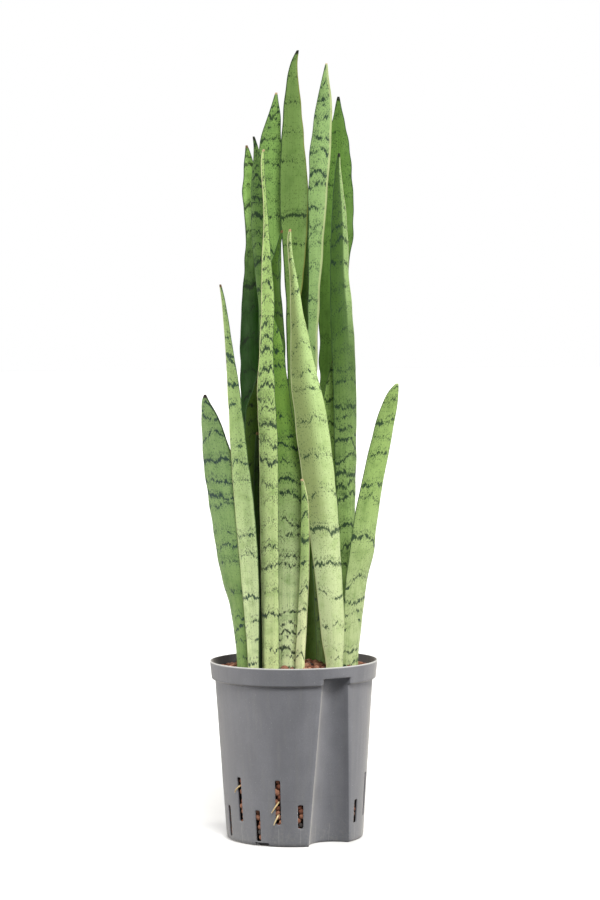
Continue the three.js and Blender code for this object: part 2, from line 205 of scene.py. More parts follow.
def start_material(name, **sockets):
    """A new node material and its shader, with the values that are the same all over."""
    material = bpy.data.materials.new(name)
    material.use_nodes = True
    shader = material.node_tree.nodes["Principled BSDF"]
    for socket, value in sockets.items():
        shader.inputs[socket.replace("_", " ")].default_value = value
    return material, shader


def attribute(material, name):
    return Wire(material, add_node(material, "Attribute", attribute_name=name).outputs["Fac"])


def split(material, kind, output):
    """The three parts of a coordinate, in millimetres."""
    source = add_node(material, kind).outputs[output]
    parts = add_node(material, "SeparateXYZ")
    material.node_tree.links.new(source, parts.inputs[0])
    return [Wire(material, parts.outputs[k]) * (1 / MM) for k in range(3)]


def noise(material, place, detail=2.0, roughness=0.5):
    """Noise from 0 to 1 over a place given as three values, one cell per unit."""
    joined = add_node(material, "CombineXYZ")
    for socket, value in zip(joined.inputs, place):
        feed(material, socket, value)
    made = add_node(material, "TexNoise")
    made.inputs["Scale"].default_value = 1
    made.inputs["Detail"].default_value = detail
    made.inputs["Roughness"].default_value = roughness
    material.node_tree.links.new(joined.outputs[0], made.inputs["Vector"])
    return Wire(material, made.outputs["Fac"])


def mix(material, share, first, second):
    """A colour part way from the first to the second."""
    made = add_node(material, "Mix", data_type="RGBA", clamp_factor=True)
    for socket, value in zip((made.inputs[0], made.inputs[6], made.inputs[7]), (share, first, second)):
        feed(material, socket, value)
    return Wire(material, made.outputs[2])


def raise_surface(material, shader, height, distance, strength=1.0):
    """Bump from a height between 0 and 1, distance millimetres deep."""
    bump = add_node(material, "Bump")
    bump.inputs["Strength"].default_value = strength
    bump.inputs["Distance"].default_value = distance * MM
    feed(material, bump.inputs["Height"], height)
    material.node_tree.links.new(bump.outputs[0], shader.inputs["Normal"])


# ---- Leaves ----
# foot and crown: the leaf's green low down and high up; on some leaves these greens carry painted shade or
# painted light, noted at each. deep: its darker streaks.
# mark: the cross bands. left and right: each margin's colour and its width in millimetres.
# point: the colour of the spine at the tip and its length.
# bands: heights of the cross bands above the ground. bold: those that are drawn strongly.
# wave: how much the margins wave. teeth: how far a band zigzags. bend: how much it sags or
# slopes. faint: how weak the bands that aren't bold are. spare: millimetres added to each side.
# flank: a side (-1 left, 1 right) painted darker as shade (leaf_front_wide) or lighter as a highlight
# (leaf_right_folded), where across it starts and is full, and the heights between which it comes in. fade:
# heights between which foot turns to crown.
PALE_EDGE = ("dcdfa8", 0.9)
DARK_EDGE = ("33502c", 0.6)
PINK_POINT = ("b9a07c", 3)
BLACK_POINT = ("18200f", 6)
BROWN_POINT = ("6b5334", 4)

LEAVES = {
    "leaf_left_short": dict(
        foot="86a460", crown="92b172", deep="5d8448", mark="22383c",
        left=DARK_EDGE, right=("1f3320", 1.3), point=("2a2320", 5), teeth=9, wave=0.5,
        bands=[450, 433, 406, 382, 369, 358, 331, 314, 298, 268, 239, 226, 215, 204, 197],
        bold=[406, 382, 369]),
    "leaf_front_left": dict(
        foot="dbecb2", crown="aecc82", deep="84a35c", mark="24443a", left=PALE_EDGE, right=DARK_EDGE,
        point=BROWN_POINT, teeth=7, wave=0.3,
        bands=[577, 561, 534, 526, 518, 509, 487, 463, 421, 404, 386, 329, 307, 261, 236],
        bold=[509, 404]),
    "leaf_front_long": dict(
        foot="cfe09f", crown="bfe088", deep="86a75a", mark="18322e", left=PALE_EDGE, right=DARK_EDGE,
        point=PINK_POINT, teeth=13, wave=0.3,
        bands=[716, 700, 688, 668, 650, 641, 620, 604, 590, 574, 557, 548, 535, 522, 501, 485, 470, 459, 445,
               425, 407, 380, 365, 338, 312, 296, 270, 244, 207],
        bold=[548, 535, 522, 501, 485, 445, 425, 407, 312]),
    "leaf_banded": dict(
        foot="b6c889", crown="648543", deep="3a5c2a", mark="142a1a", left=DARK_EDGE, right=DARK_EDGE,
        point=BLACK_POINT, teeth=11, wave=0.5,
        bands=[740, 729, 716, 704, 696, 683, 676, 664, 644, 630, 616, 586, 560, 540, 518, 494, 470, 448],
        bold=[740, 729, 704, 696, 683, 676, 664, 616]),
    # Painted shade: the foot and deep greens are near black green where this leaf stands in shade behind the
    # front leaves.
    "leaf_back_left": dict(
        foot="1f4a0a", crown="88af5a", deep="173606", mark="12240f", fade=(560, 690),
        left=DARK_EDGE, right=DARK_EDGE, point=BROWN_POINT, teeth=10, wave=0.8,
        bands=[740, 735, 727, 703, 674, 650, 628, 591, 565, 533, 500, 473, 450],
        bold=[740, 727, 674, 591]),
    "leaf_back_broad": dict(
        foot="b9cd8b", crown="8ab15e", deep="5f8544", mark="1a3320", left=DARK_EDGE, right=DARK_EDGE,
        point=PINK_POINT, teeth=8, wave=0.6,
        bands=[800, 786, 775, 771, 763, 749, 736, 722, 704, 686, 668, 626, 600, 572, 540],
        bold=[775, 749, 722]),
    "leaf_dark_middle": dict(
        foot="a2bc70", crown="486921", deep="3c5c22", mark="12260f", left=DARK_EDGE, right=DARK_EDGE,
        point=BROWN_POINT, teeth=7, wave=0.4, bands=[], bold=[]),
    "leaf_tallest": dict(
        foot="55702a", crown="80a157", deep="61853f", mark="1a341a",
        left=("26401f", 0.9), right=("8a8f4a", 0.7), point=BLACK_POINT, teeth=7, wave=0.4,
        bend=0.25, faint=0.3,
        bands=[817, 788, 756, 725, 666, 635, 600, 560, 235, 228, 209, 199], bold=[666]),
    "leaf_back_tall": dict(
        foot="5a6e33", crown="a5c97e", deep="7ba05e", mark="1a362e", left=DARK_EDGE, right=("c3d294", 2.0),
        point=("c9b99a", 2), teeth=11, wave=0.5,
        bands=[803, 790, 782, 772, 747, 732, 720, 710, 698, 673, 653, 646, 632, 610, 575, 557, 526, 500],
        bold=[790, 772, 747, 732, 710]),
    "leaf_front_wide": dict(
        foot="ccdaa4", crown="bedb90", deep="9ab66e", mark="233f2a",
        left=("c8d19c", 0.8), right=("b9cf8a", 0.6), point=("b4946e", 3.5), teeth=9, wave=0.4, faint=0.7,
        # Painted shade: the left half is tinted olive, the side turned away from the light.
        painted_side_shading=(-1, "8a985e", -0.45, 0.55, 300, 360),
        bands=[596, 581, 546, 526, 496, 481, 448, 412, 372, 332, 296, 264, 232, 207, 191],
        bold=[332, 296]),
    "leaf_back_wavy": dict(
        foot="bed195", crown="6c9343", deep="456828", mark="1c3418", fade=(400, 500),
        left=DARK_EDGE, right=DARK_EDGE, point=BLACK_POINT, teeth=6, wave=0.9, faint=0.5,
        bands=[690, 640, 530, 480], bold=[]),
    # Painted shade: the crown and deep greens are darkened for the shaded inner face of the fold.
    "leaf_right_folded": dict(
        foot="91ae67", crown="476729", deep="3d5c28", mark="163020", fade=(330, 560),
        left=DARK_EDGE, right=("cfdca4", 1.2), point=BLACK_POINT, teeth=10, wave=0.7,
        # Painted highlight: the right side is lightened as the lit strip of the folded wing.
        painted_side_shading=(1, "a8c980", 0.05, 0.3, 500, 600),
        bands=[664, 653, 639, 612, 586, 563, 541, 518, 500, 489, 462, 452, 436, 422, 407, 390, 378, 366, 333,
               312, 301],
        bold=[462, 407, 390, 366, 333]),
    "leaf_right_hidden": dict(
        foot="d0dda6", crown="a8cc72", deep="5a7c3e", mark="294626", left=DARK_EDGE, right=DARK_EDGE,
        point=BROWN_POINT, teeth=7, wave=0.4, bands=[], bold=[]),
    # Painted light: the foot green is lightened to make up for the shadow that leaf_front_wide casts on it.
    "leaf_front_middle": dict(
        foot="eaf8c0", crown="80a84a", deep="6c9842", mark="143028", left=DARK_EDGE, right=("2a4a24", 0.8),
        point=BROWN_POINT, teeth=9, wave=0.3, spare=1.3,
        bands=[522, 505, 486, 450, 430, 421, 404, 383, 370, 341, 325, 303, 294, 242, 231, 224, 216, 205, 194],
        bold=[522, 505, 421, 383, 370, 205]),
    # Painted shade: near black greens for a leaf that stands deep in shade behind the others.
    "leaf_shaded": dict(
        foot="1b2d0a", crown="3a5314", deep="22370c", mark="0c1a08", left=DARK_EDGE, right=DARK_EDGE,
        point=BROWN_POINT, teeth=7, wave=0.4, bands=[], bold=[]),
    # Painted shade: near black greens for a leaf that stands deep in shade behind the others.
    "leaf_shaded_small": dict(
        foot="12240a", crown="1e3208", deep="162808", mark="081505", left=DARK_EDGE, right=DARK_EDGE,
        point=BROWN_POINT, teeth=6, wave=0.3, bands=[], bold=[]),
    "leaf_front_small": dict(
        foot="eaf2bb", crown="a8c379", deep="86a560", mark="1f3a2c", left=("7f9a55", 0.6), right=PALE_EDGE,
        point=PINK_POINT, teeth=7, wave=0.3, spare=0.8,
        bands=[366, 349, 323, 296, 270, 249, 227], bold=[349, 323, 270]),
    "leaf_right_leaning": dict(
        foot="bdcd95", crown="a7c874", deep="76964f", mark="1e3a2c", left=DARK_EDGE, right=("5e7c44", 0.8),
        point=("9fb377", 3), teeth=9, wave=0.5,
        bands=[469, 447, 430, 412, 379, 364, 321, 278, 256, 241, 230, 203], bold=[469, 447, 321]),
    # Painted shade: the crown and deep greens are darkened for a leaf that stands in shadow at the back.
    "leaf_far_back": dict(
        foot="8aa35f", crown="355313", deep="2c4814", mark="10220c", left=DARK_EDGE, right=DARK_EDGE,
        point=BROWN_POINT, teeth=7, wave=0.5, bands=[], bold=[]),
}


def smooth_through(heights, values, at):
    """A curve through the stations that never swings past them."""
    gaps = np.diff(heights)
    slopes = np.diff(values) / gaps
    tangents = np.zeros(len(values))
    tangents[0] = slopes[0]
    tangents[-1] = slopes[-1]
    for k in range(1, len(values) - 1):
        if slopes[k - 1] * slopes[k] > 0:
            tangents[k] = 2 * slopes[k - 1] * slopes[k] / (slopes[k - 1] + slopes[k])
    k = np.clip(np.searchsorted(heights, at) - 1, 0, len(gaps) - 1)
    t = (at - heights[k]) / gaps[k]
    return (values[k] * (1 + 2 * t) * (1 - t) ** 2 + values[k + 1] * t * t * (3 - 2 * t)
            + gaps[k] * (tangents[k] * t * (1 - t) ** 2 + tangents[k + 1] * t * t * (t - 1)))


def leaf_stations(node):
    """The CAD leaf's level rings, from its foot to its tip, in millimetres.

    Each row is height, middle x and y, direction across in radians, half width, cup and thickness.
    """
    corners = np.array([v.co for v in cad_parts[node].data.vertices]) / MM
    corners = np.unique(np.round(corners, 2), axis=0)
    stations = []
    across = np.array([1.0, 0.0])
    for height in np.unique(corners[:, 2]):
        ring = corners[corners[:, 2] == height][:, :2]
        centred = ring - ring.mean(0)
        spread, directions = np.linalg.eigh(centred.T @ centred)
        if spread[1] > 4 * spread[0]:
            across = directions[:, 1] * (1 if directions[0, 1] > 0 else -1)
        order = np.argsort(centred @ across)
        pairs = ring[order].reshape(5, 2, 2)
        middles = pairs.mean(1)
        chord = (middles[0] + middles[4]) / 2 - middles[2]
        cup = chord @ np.array([-across[1], across[0]])
        stations.append([
            height, *middles[2], math.atan2(across[1], across[0]),
            (centred @ across).max(), cup, np.linalg.norm(pairs[2, 0] - pairs[2, 1])])
    return np.array(stations)


def leaf_form(stations, at):
    """The same values at any heights, smooth between the rings."""
    heights = stations[:, 0]
    return [smooth_through(heights, stations[:, k], at) for k in range(1, 7)]


def band_heights(look, foot, tip, chance):
    """All the cross bands of a leaf: the listed ones, and made-up ones where none are listed."""
    bands = sorted(look["bands"])
    low = bands[0] if bands else tip - 12
    while low > foot:
        low -= chance.uniform(9, 30)
        bands.insert(0, low)
    while bands[-1] < tip:
        bands.append(bands[-1] + chance.uniform(9, 22))
    faint = look.get("faint", 1.0)
    strengths = [1.0 if b in look["bold"] else chance.uniform(0.35, 0.75) * faint for b in bands]
    if not look["bands"]:
        strengths = [s * chance.choice((0.5, 0.9, 1.2)) for s in strengths]
    return np.array(bands, dtype=float), np.array(strengths)


def make_leaf(node, look, seed):
    """One leaf: a sheet drawn on the CAD leaf's middle, given its thickness and softened."""
    chance = random.Random(seed)
    stations = leaf_stations(node)
    foot, tip = stations[0, 0], stations[-1, 0]
    deselect_all()
    bpy.ops.mesh.primitive_grid_add(x_subdivisions=8, y_subdivisions=int((tip - foot) / 5), size=1)
    leaf = bpy.context.object
    grid = corners_of(leaf)
    side = grid[:, 0] * 2
    share = np.sign(side) * (1 - (1 - np.abs(side)) ** 1.6)
    height = foot + (grid[:, 1] + 0.5) * (tip - foot)
    x, y, turn, half, cup, thickness = leaf_form(stations, height)
    half = half + look.get("spare", 0.35)
    thickness = np.maximum(thickness, 1.0)

    waves = [(chance.uniform(24, 60), chance.uniform(0, 6.3), chance.uniform(0.15, 0.5)) for _ in range(8)]
    wave = np.zeros(len(height))
    for k, (length, start, size) in enumerate(waves):
        on_this_side = (share > 0) if k % 2 else (share < 0)
        wave += on_this_side * size * np.sin(height * 2 * math.pi / length + start)
    narrow = np.clip(half / 8, 0, 1) * np.clip((height - 200) / 60, 0, 1)
    ripple = sum(0.35 * np.sin(height * 2 * math.pi / length + start) for length, start, _ in waves[:3])
    beside = share * half + share * np.abs(share) * wave * look["wave"] * narrow
    bow = cup * share ** 2
    depth = bow + ripple * share * np.abs(share) * look["wave"] * narrow
    across = np.stack([np.cos(turn), np.sin(turn)])
    inward = np.stack([-across[1], across[0]])
    place = np.stack([x, y]) + across * beside + inward * depth
    move_corners(leaf, np.stack([place[0], place[1], height], axis=1) * MM)

    surface = leaf.data.uv_layers[0]
    corner_of_loop = np.zeros(len(leaf.data.loops), dtype=int)
    leaf.data.loops.foreach_get("vertex_index", corner_of_loop)
    drawn = np.stack([beside, height], axis=1)[corner_of_loop] * MM
    surface.data.foreach_set("uv", drawn.ravel())
    write_attribute(leaf, "across", share)
    write_attribute(leaf, "inset", half * (1 - np.abs(share)))

    plump = thickness + (0.9 - thickness) * share ** 2
    most = plump.max()
    group = leaf.vertex_groups.new(name="plump")
    for k, value in enumerate(plump / most):
        group.add([k], float(value), "REPLACE")
    shell = leaf.modifiers.new("thickness", "SOLIDIFY")
    shell.thickness = most * MM
    shell.offset = 0
    shell.vertex_group = group.name
    soften = leaf.modifiers.new("soften", "SUBSURF")
    soften.levels = soften.render_levels = 1
    apply_modifiers(leaf)
    bpy.ops.object.shade_smooth()

    bands, strengths = band_heights(look, foot, tip, chance)
    high = corners_of(leaf)[:, 2] / MM
    count = np.arange(len(bands))
    phase = np.interp(high, bands, count)
    lower = np.clip(np.searchsorted(bands, high) - 1, 0, len(bands) - 2)
    write_attribute(leaf, "phase", phase)
    write_attribute(leaf, "spacing", np.diff(bands)[lower])
    write_attribute(leaf, "strength", strengths[np.clip(np.round(phase).astype(int), 0, len(bands) - 1)])
    name = node.replace("leaf", "blade")
    return finish_piece(leaf, name, "leaf", leaf_material(node, look, seed, foot, tip), node)


def leaf_material(node, look, seed, foot, tip):
    """Waxy green skin with ragged cross bands, fine lengthwise fibres, a margin line and a spine."""
    material, shader = start_material(node.replace("leaf", "skin"), Specular_IOR_Level=0.16)
    beside, along, _ = split(material, "UVMap", "UV")
    across = attribute(material, "across")
    inset = attribute(material, "inset")
    phase = attribute(material, "phase")
    strength = attribute(material, "strength")

    band = (phase + 0.5).floor()
    dice = add_node(material, "TexWhiteNoise", noise_dimensions="1D")
    feed(material, dice.inputs["W"], band + seed)
    rolled = add_node(material, "SeparateColor")
    material.node_tree.links.new(dice.outputs["Color"], rolled.inputs[0])
    droop, slope, weight = [Wire(material, rolled.outputs[k]) for k in range(3)]

    teeth = noise(material, (beside / 2.6, band * 7.7 + seed, 0.0), 5, 0.72)
    sweep = noise(material, (beside / 10, band * 5.1 + seed, 4.0), 0)
    gaps = noise(material, (beside / 4.2, band * 3.3 + seed, 9.0), 2)
    fibres = noise(material, (beside / 0.7, along / 4.2, seed), 3, 0.65)
    bend = look.get("bend", 1.0)
    offset = ((teeth - 0.5) * (look["teeth"] * 1.9) + (droop - 0.75) * (0.5 - abs(across)) * 14 * bend
              + (slope - 0.5) * across * 8 * bend + (sweep - 0.5) * 12 * bend)
    signed = (phase - band) * attribute(material, "spacing") + offset
    away = abs(signed + (fibres - 0.5) * 7.5)
    reach = strength * 2.1 + (weight - 0.5) * 1.2 + (gaps - 0.5) * 8 - 0.5
    line = (reach - away).step(-0.4, 0.4)
    parted = noise(material, (beside / 2.2, band * 4.3 + seed, 13.0), 3, 0.7)
    echo = abs(signed - 1.5 - parted * 8 + (fibres - 0.5) * 6)
    second = (strength * 0.9 + (parted - 0.5) * 8 - 0.4 - echo).step(-0.4, 0.4)
    specks = noise(material, (beside / 0.8, along / 2.2, seed + 40), 2)
    dots = (specks + away.step(0.0, 10.0, 0.05, -0.03) + strength * 0.03).step(0.6, 0.66)
    dust = noise(material, (beside / 1.2, along / 1.8, seed + 60), 2).step(0.68, 0.73)
    clean_foot = along.step(200, 330, 0.35, 1.0)
    marks = line.most(second * 0.65).most(dots * 0.85 * clean_foot).most(dust * 0.4 * clean_foot)

    foot_green = tone(look["foot"])
    crown_green = tone(look["crown"])
    fade = look.get("fade", (foot + 60, foot + 0.75 * (tip - foot)))
    body = mix(material, along.step(*fade), foot_green, crown_green)
    streaks = noise(material, (beside / 1.7, along / 80, seed + 5), 3, 0.6)
    clouds = noise(material, (beside / 11, along / 13, seed + 11), 3)
    shade = streaks.step(0.42, 0.75, 0.0, 0.35) + clouds.step(0.45, 0.72, 0.0, 0.4)
    body = mix(material, shade, body, tone(look["deep"]))
    # Painted shading on one side of the leaf: shade on leaf_front_wide, a highlight on leaf_right_folded.
    if "painted_side_shading" in look:
        side, colour, start, end, bottom, top = look["painted_side_shading"]
        painted_side_mask = (across * side).step(start, end) * along.step(bottom, top)
        body = mix(material, painted_side_mask * 0.8, body, tone(colour))
    body = mix(material, marks * 0.92, body, tone(look["mark"]))

    for side, key in ((-1, "left"), (1, "right")):
        colour, width = look[key]
        ragged = inset + (noise(material, (0.0, along / 6, seed + side), 2) - 0.5) * (width * 1.2)
        near = ragged.step(width + 0.25, width - 0.25) * (across * side).step(0.0, 0.05)
        body = mix(material, near * 0.85, body, tone(colour))
    colour, length = look["point"]
    body = mix(material, along.step(tip - length, tip - length * 0.55), body, tone(colour))
    feed(material, shader.inputs["Base Color"], body)

    feed(material, shader.inputs["Roughness"], clouds.step(0.3, 0.7, 0.42, 0.56) + marks * 0.08)
    ribs = noise(material, (beside / 1.1, along / 150, seed + 3), 2)
    pores = noise(material, (beside / 0.5, along / 1.4, seed + 8), 1)
    swell = noise(material, (beside / 7, along / 40, seed + 2), 1)
    raise_surface(material, shader, ribs * 0.5 + pores * 0.15 + swell - marks * 0.12, 0.55, 0.8)
    return material


# ---- Pot ----
def body_radius(height):
    return FOOT_RADIUS + (BODY_TOP_RADIUS - FOOT_RADIUS) * (height - FOOT_CORNER) / (BODY_TOP - FOOT_CORNER)


def channel_at(height):
    """The channel's distance from the pot's axis and its radius at a height."""
    share = max(0.0, min(1.0, (height + 1) / (CHANNEL_CEILING + WALL + 1)))
    bottom = FOOT_RADIUS + CHANNEL_BOTTOM[0] - CHANNEL_BOTTOM[1]
    top = BODY_TOP_RADIUS + CHANNEL_TOP[0] - CHANNEL_TOP[1]
    return bottom + (top - bottom) * share, CHANNEL_BOTTOM[0] + (CHANNEL_TOP[0] - CHANNEL_BOTTOM[0]) * share


def mouth_angle(radius, height, inset=0.0):
    """Half the angle that the channel's mouth takes up, in radians."""
    distance, channel_radius = channel_at(height)
    channel_radius += inset
    cosine = (radius ** 2 + distance ** 2 - channel_radius ** 2) / (2 * radius * distance)
    return math.acos(max(-1.0, min(1.0, cosine)))


# A column is either a share of the channel's arc, from -1 to 1, or an angle on the wall in
# degrees from the channel. Columns stand at each slot's edges, with one more just outside.
CHANNEL_SHARES = (-1, -0.86, -0.66, -0.42, -0.2, 0, 0.2, 0.42, 0.66, 0.86, 1)
SLOT_COUNT = 9
slot_centres = [FIRST_SLOT + SLOT_PITCH * k for k in range(SLOT_COUNT)]
right_wall = [24.1]
for centre in slot_centres:
    right_wall += [centre + step for step in (-SLOT_HALF, SLOT_HALF, 3, 5.5, 9, 12.5, 15)
                   if centre + step <= 180]
COLUMNS = ([("wall", -a) for a in reversed(right_wall)] + [("lip", -1)]
           + [("channel", s) for s in CHANNEL_SHARES] + [("lip", 1)] + [("wall", a) for a in right_wall])


def around(angle, distance, height):
    """A point at an angle in radians from the channel's middle, in metres."""
    turn = math.radians(CHANNEL_ANGLE) + angle
    return (distance * math.sin(turn) * MM, -distance * math.cos(turn) * MM, height * MM)


def wall_point(column, radius, height, channel_height, inset=0.0):
    """A point on the wall's outline; channel_height is None where the wall runs full circle."""
    kind, value = column
    mouth = mouth_angle(radius, min(height, CHANNEL_CEILING), inset)
    if kind == "wall":
        return around(math.radians(value), radius, height)
    if kind == "lip":
        return around(value * (mouth + 3.6 / radius), radius, height)
    if channel_height is None:
        return around(value * mouth, radius, height)
    distance, channel_radius = channel_at(channel_height)
    channel_radius += inset
    mouth = mouth_angle(radius, channel_height, inset)
    widest = math.atan2(radius * math.sin(mouth), distance - radius * math.cos(mouth))
    forward = distance - channel_radius * math.cos(value * widest)
    aside = channel_radius * math.sin(value * widest)
    return around(math.atan2(aside, forward), math.hypot(forward, aside), channel_height)


def wrap_round(name, rows):
    """A closed-round sheet from rows of (radius, height, channel height, inset, shrink)."""
    deselect_all()
    bpy.ops.mesh.primitive_grid_add(x_subdivisions=len(COLUMNS) - 1, y_subdivisions=len(rows) - 1, size=1)
    piece = bpy.context.object
    piece.name = name
    grid = corners_of(piece)
    placed = []
    for x, y, _ in grid:
        column = COLUMNS[round((x + 0.5) * (len(COLUMNS) - 1))]
        radius, height, channel_height, inset, shrink = rows[round((0.5 - y) * (len(rows) - 1))]
        point = wall_point(column, radius, height, channel_height, inset)
        placed.append((point[0] * shrink, point[1] * shrink, point[2]))
    move_corners(piece, placed)
    bpy.ops.object.mode_set(mode="EDIT")
    bpy.ops.mesh.select_all(action="SELECT")
    bpy.ops.mesh.remove_doubles(threshold=0.00002)
    bpy.ops.mesh.normals_make_consistent(inside=False)
    bpy.ops.object.mode_set(mode="OBJECT")
    return piece


def slot_ends(index):
    if index == 0:
        return SLOTS[0]
    return SLOTS[1] if index % 2 else SLOTS[2]


def open_slots(piece):
    """Takes out the faces that lie in the slots."""
    pick(piece)
    bpy.ops.object.mode_set(mode="EDIT")
    bpy.ops.mesh.select_mode(type="FACE")
    bpy.ops.mesh.select_all(action="DESELECT")
    bpy.ops.object.mode_set(mode="OBJECT")
    for face in piece.data.polygons:
        x, y, z = face.center / MM
        angle = math.degrees(math.atan2(x, -y)) - CHANNEL_ANGLE
        angle = abs((angle + 180) % 360 - 180)
        index = round((angle - FIRST_SLOT) / SLOT_PITCH)
        if index < 0 or math.hypot(x, y) < FOOT_RADIUS - 4:
            continue
        low, high = slot_ends(index)
        face.select = abs(angle - FIRST_SLOT - SLOT_PITCH * index) < SLOT_HALF and low < z < high
    bpy.ops.object.mode_set(mode="EDIT")
    bpy.ops.mesh.delete(type="FACE")
    bpy.ops.mesh.select_mode(type="VERT")
    bpy.ops.object.mode_set(mode="OBJECT")


def cut_underside(pot):
    """Cuts the drain slots through the floor and the gaps in the foot ring."""
    cutters = []
    for k in range(DRAIN_SLOTS):
        angle = math.radians((k + 0.5) * 360 / DRAIN_SLOTS)
        cutters.append((around(angle, DRAIN_DISTANCE, 4), DRAIN_CUT, angle))
    for degrees in FOOT_GAPS:
        angle = math.radians(degrees)
        cutters.append((around(angle, FOOT_RADIUS, 0), FOOT_GAP_CUT, angle))
    deselect_all()
    made = []
    for place, size, angle in cutters:
        bpy.ops.mesh.primitive_cube_add(size=1, location=place,
                                        rotation=(0, 0, math.radians(CHANNEL_ANGLE) + angle))
        cutter = bpy.context.object
        cutter.scale = [s * MM for s in size]
        made.append(cutter)
    deselect_all()
    for cutter in made:
        cutter.select_set(True)
    bpy.context.view_layer.objects.active = made[0]
    bpy.ops.object.join()
    cutter = made[0]
    cut = pot.modifiers.new("underside", "BOOLEAN")
    cut.operation = "DIFFERENCE"
    cut.object = cutter
    cut.solver = "EXACT"
    apply_modifiers(pot)
    bpy.data.objects.remove(cutter)


def make_pot():
    """The culture pot: outer skin from the lip to the middle of the underside, then its wall."""
    band_foot = RIM_RADIUS - BAND_TAPER

    def band(height):
        return band_foot + BAND_TAPER * (height - BODY_TOP) / BAND_HEIGHT

    rows = [(band(z), z, None, 0, 1) for z in (190, 189.3, 187.5, 183, 178.7)]
    rows.append((band(178), 178, None, 0, 1))
    rows.append((band(177.3), 177.3, 177.9, 0, 1))
    rows += [(band(z), z, z, 0, 1) for z in (176.4, 174, 171.9)]
    rows.append((band(171), 171, 171, 0, 1))
    rows.append((BODY_TOP_RADIUS + 0.1, 170.2, 170.2, 0, 1))
    # The heights hold every slot's ends, with a row close on each side of them.
    body_heights = (169.2, 166, 150, 130, 110, 90, 80, 72.6, 71, 69, 60, 50, 46.6, 45, 43, 39.6, 38, 36, 30,
                    25.6, 24, 22, 20, 18.4, 12, 6.6, 5, 3.4)
    rows += [(body_radius(z), z, z, 0, 1) for z in body_heights]
    rows += [(FOOT_RADIUS - 0.9, 1.2, 1.2, 0, 1), (FOOT_RADIUS, 0.1, 0.1, 0, 0.975),
             (FOOT_RADIUS, 0, 0, 0, 0.95)]
    ring_inside = (FOOT_RADIUS - FOOT_CORNER - FOOT_RING) / FOOT_RADIUS
    boss = BOSS_RADIUS / FOOT_RADIUS
    for shrink, height in ((ring_inside + 0.02, 0), (ring_inside, 0.3), (ring_inside - 0.02, FOOT_RECESS),
                           (0.5, FOOT_RECESS), (boss + 0.02, FOOT_RECESS), (boss, 0.3), (boss - 0.02, 0),
                           (0.1, 0), (0.0, 0)):
        rows.append((FOOT_RADIUS, height, height, 0, shrink))
    pot = wrap_round("pot", rows)
    open_slots(pot)
    shell = pot.modifiers.new("wall", "SOLIDIFY")
    shell.thickness = WALL * MM
    shell.offset = -1
    shell.use_even_offset = True
    soften = pot.modifiers.new("soften", "SUBSURF")
    soften.levels = soften.render_levels = 1
    apply_modifiers(pot)
    cut_underside(pot)
    pick(pot)
    bpy.ops.object.shade_smooth_by_angle(angle=math.radians(40))
    return finish_piece(pot, "moulded_pot", "pot_plastic", pot_material(), "culture_pot")


def pot_material():
    """Matt grey plastic: fine grain, soft cloudiness, a painted highlight on the lip, lime marks by the slots
    and painted shade inside above the clay.
    """
    material, shader = start_material("grey_plastic", Specular_IOR_Level=0.4, Sheen_Weight=0.5,
                                      Sheen_Roughness=0.4, Sheen_Tint=(1, 0.94, 0.85, 1))
    x, y, z = split(material, "TexCoord", "Object")
    clouds = noise(material, (x / 26, y / 26, z / 40), 3)
    grain = noise(material, (x / 0.8, y / 0.8, z / 0.8), 2)
    drips = noise(material, (x / 5, y / 5, z / 90), 2)
    colour = mix(material, clouds.step(0.3, 0.7), tone("727379"), tone("7e7f85"))
    colour = mix(material, drips.step(0.5, 0.75, 0, 0.25), colour, tone("868684"))
    colour = mix(material, grain.step(0.3, 0.75, 0, 0.35), colour, tone("626368"))
    dust = noise(material, (x / 3, y / 3, z / 3), 4, 0.7)
    low_down = (z + dust * 30).step(60, 18)
    colour = mix(material, low_down * dust.step(0.45, 0.7, 0, 0.4), colour, tone("97968f"))
    reach = x.work("SQRT", x * x + y * y)
    behind_face = reach - (z - BODY_TOP) * (BAND_TAPER / BAND_HEIGHT) - (RIM_RADIUS - BAND_TAPER)
    flecks = noise(material, (x / 1.1, y / 1.1, z / 1.1 + 50.0), 1)
    colour = mix(material, flecks.step(0.72, 0.76, 0, 0.35), colour, tone("b9b9b4"))
    # Painted highlight: a pale line along the top edge of the lip.
    painted_lip_highlight = z.step(188.3, 189.4) * behind_face.step(-1.4, -0.9) * 0.8
    colour = mix(material, painted_lip_highlight, colour, tone("d2d3d0"))
    seam = abs(z - 49).step(0.8, 0.2) * 0.15
    colour = mix(material, seam, colour, tone("5f6065"))
    turn = x.work("ARCTAN2", x, y * -1) * (180 / math.pi) + (540 - CHANNEL_ANGLE - FIRST_SLOT + 9)
    beside_slot = abs(turn.work("MODULO", turn, SLOT_PITCH) - 9)
    groove = beside_slot.step(0.55, 0.2) * z.step(22, 18)
    colour = mix(material, groove * 0.35, colour, tone("a2a39f"))
    # Painted shade: the inside of the wall above the clay is made near black.
    painted_inner_shade = behind_face.step(-0.9, -1.3) * z.step(179.4, 180)
    colour = mix(material, painted_inner_shade * 0.85, colour, tone("232326"))
    feed(material, shader.inputs["Base Color"], colour)
    feed(material, shader.inputs["Roughness"], clouds.step(0.3, 0.7, 0.5, 0.62))
    ripple = noise(material, (x / 9, y / 9, z / 60), 1)
    raise_surface(material, shader, grain * 0.4 + ripple + dust * 0.2, 0.35, 0.7)
    return material


# ---- Clay ----
def clay_level(distance):
    return CLAY_EDGE + CLAY_MOUND * (1 - min(1.0, distance / (RIM_RADIUS - 4)) ** 3)


